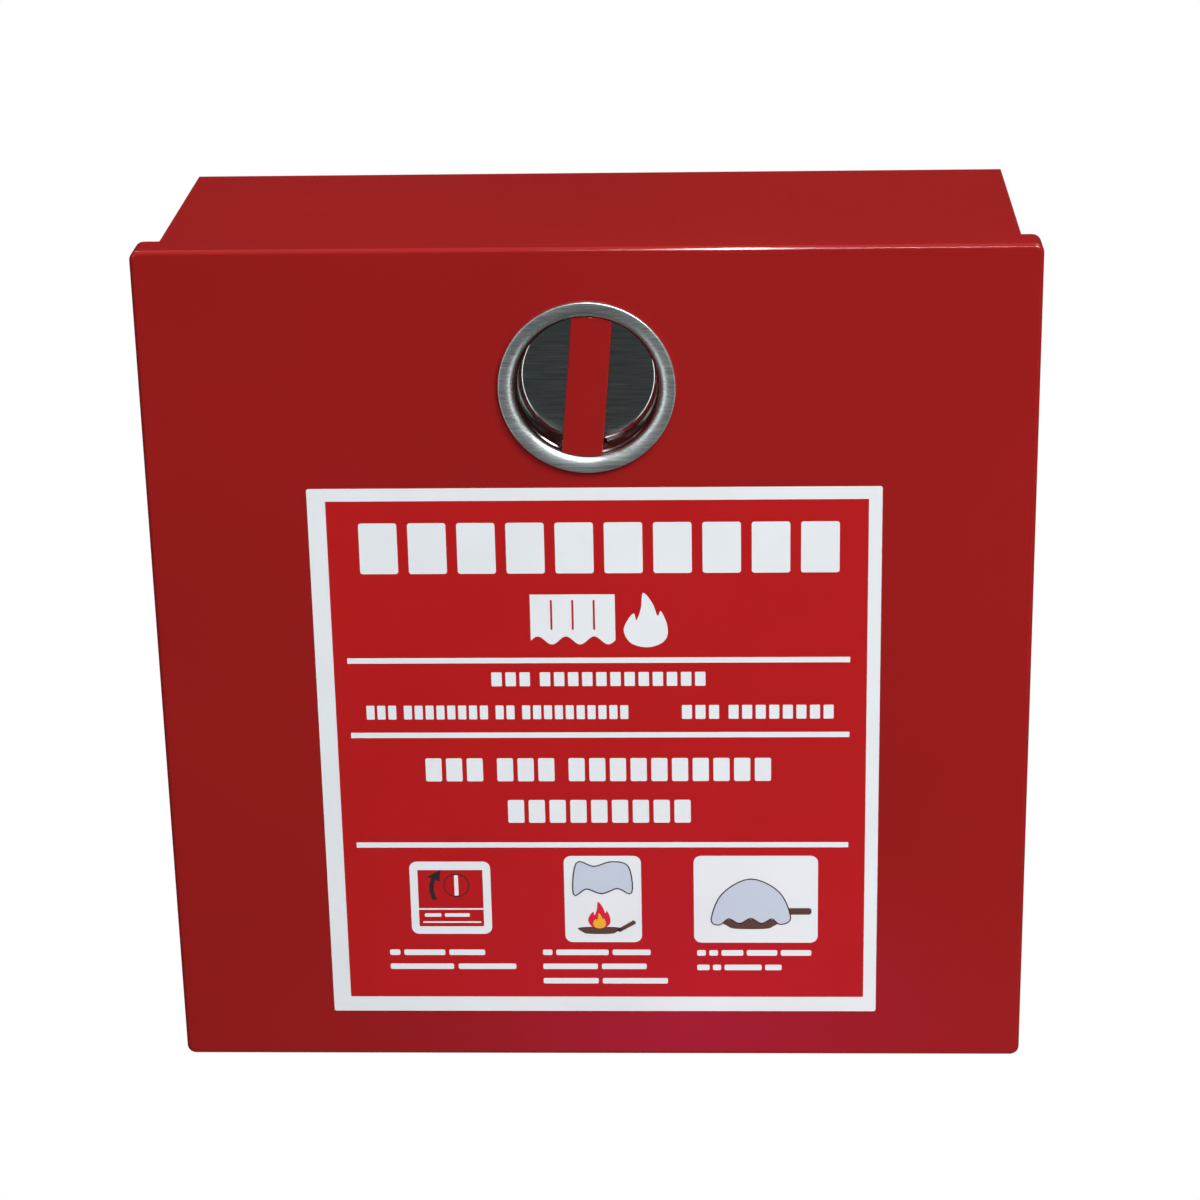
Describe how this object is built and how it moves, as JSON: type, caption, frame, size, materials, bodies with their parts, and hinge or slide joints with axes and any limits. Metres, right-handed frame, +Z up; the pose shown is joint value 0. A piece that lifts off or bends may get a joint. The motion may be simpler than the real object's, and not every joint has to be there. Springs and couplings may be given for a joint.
{
  "type": "fire blanket wall box",
  "caption": "Square red sheet-steel wall box with a bottom-hinged flap door, a recessed quarter-turn latch and a folded fire blanket inside.",
  "frame": {"origin": "middle of the cabinet's flat back, where it lies on the wall", "axes": "+X to the right seen from the front, +Y out of the back into the wall, +Z up; the door faces -Y"},
  "size_m": [0.3, 0.1214, 0.3013],
  "materials": {
    "red_paint": "semi-gloss powder coat",
    "label_vinyl": "printed vinyl, satin",
    "stainless": "brushed",
    "zinc_steel": "bright zinc plated",
    "glass_cloth": "woven glass fibre",
    "tape_webbing": "woven webbing"
  },
  "bodies": {
    "cabinet": {"cabinet_wrap": "red_paint", "top_panel": "red_paint", "bottom_panel": "red_paint", "strike_plate": "zinc_steel", "folded_blanket": "glass_cloth", "pull_tape_left": "tape_webbing", "pull_tape_right": "tape_webbing", "hinge_leaf_cabinet_left": "zinc_steel", "hinge_leaf_cabinet_right": "zinc_steel", "hinge_pin_left": "zinc_steel", "hinge_pin_right": "zinc_steel", "rivet_cabinet_left_outer": "zinc_steel", "rivet_cabinet_left_inner": "zinc_steel", "rivet_cabinet_right_inner": "zinc_steel", "rivet_cabinet_right_outer": "zinc_steel"},
    "door": {"door_panel": "red_paint", "door_label": "label_vinyl", "latch_bowl": "stainless", "clamp_bridge": "zinc_steel", "bearing_sleeve": "zinc_steel", "sleeve_nut": "zinc_steel", "hinge_leaf_door_left": "zinc_steel", "hinge_leaf_door_right": "zinc_steel", "rivet_door_left_outer": "zinc_steel", "rivet_door_left_inner": "zinc_steel", "rivet_door_right_inner": "zinc_steel", "rivet_door_right_outer": "zinc_steel"},
    "latch": {"turn_bar": "red_paint", "spindle": "zinc_steel", "cam": "zinc_steel", "cam_washer": "zinc_steel", "cam_bolt": "zinc_steel"}
  },
  "joints": [
    {"name": "door_hinge", "type": "hinge", "parent": "cabinet", "child": "door", "pos_m": [0, -0.104, -0.1476], "axis": [1, 0, 0], "range_deg": [0, 155]},
    {"name": "latch_turn", "type": "hinge", "parent": "door", "child": "latch", "pos_m": [0, -0.12, 0.1023], "axis": [0, 1, 0], "range_deg": [-5, 85]}
  ]
}
